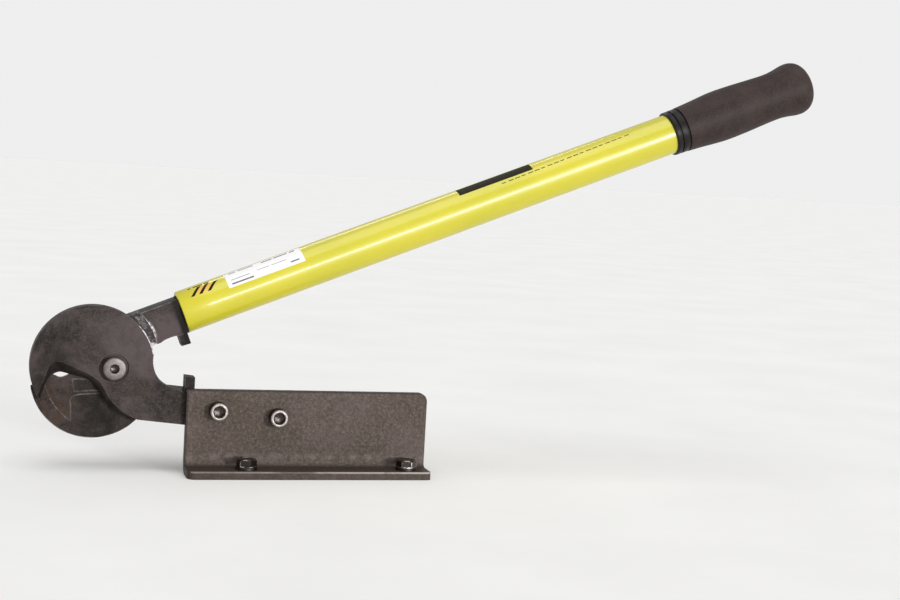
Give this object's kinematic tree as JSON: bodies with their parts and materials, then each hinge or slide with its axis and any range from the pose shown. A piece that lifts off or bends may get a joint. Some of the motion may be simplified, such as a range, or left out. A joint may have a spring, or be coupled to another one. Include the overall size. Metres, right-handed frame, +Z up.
{
  "type": "bench-mounted cable cutter",
  "caption": "Long-handled cutter for cable and wire rope with round shearing jaws, its lower lever screwed behind an angle bracket that bolts to a bench.",
  "frame": {"origin": "on the underside of the bracket foot, midway between the two bench bolts", "axes": "+X along the bracket towards the grip, +Y to the back of the cutter, +Z up out of the bench"},
  "size_m": [0.6527, 0.0718, 0.3905],
  "materials": {
    "bracket_coat": "fine-textured brown-grey powder coat",
    "forged_steel": "dark blued forging with brown wear",
    "bright_steel": "turned, lightly scratched",
    "plated_steel": "dull zinc plate",
    "black_steel": "black oxide, worn on the edges",
    "bronze": "oil-darkened bearing bronze",
    "tube_paint": "glossy greenish yellow",
    "collar_rubber": "smooth black",
    "grip_rubber": "matt dark brown-grey with a fine grain"
  },
  "bodies": {
    "bench_side": {"mounting_bracket": "bracket_coat", "fixed_jaw_lever": "forged_steel", "pivot_bolt": "bright_steel", "pivot_washer": "plated_steel", "pivot_locknut": "plated_steel", "lever_screw_1": "black_steel", "lever_screw_2": "black_steel", "lever_washer_1": "plated_steel", "lever_washer_2": "plated_steel", "lever_lock_washer_1": "plated_steel", "lever_lock_washer_2": "plated_steel", "lever_nut_1": "plated_steel", "lever_nut_2": "plated_steel", "bench_bolt_1": "black_steel", "bench_bolt_2": "black_steel", "bench_washer_1": "black_steel", "bench_washer_2": "black_steel"},
    "handle": {"moving_jaw_lever": "forged_steel", "pivot_bushing": "bronze", "handle_tube": "tube_paint", "tang_pin_1": "plated_steel", "tang_pin_2": "plated_steel", "grip_collar": "collar_rubber", "handle_grip": "grip_rubber"}
  },
  "joints": [
    {"name": "handle_hinge", "type": "hinge", "parent": "bench_side", "child": "handle", "pos_m": [-0.169, 0.0387, 0.082], "axis": [0, -1, 0], "range_deg": [-24.3, 25]}
  ]
}
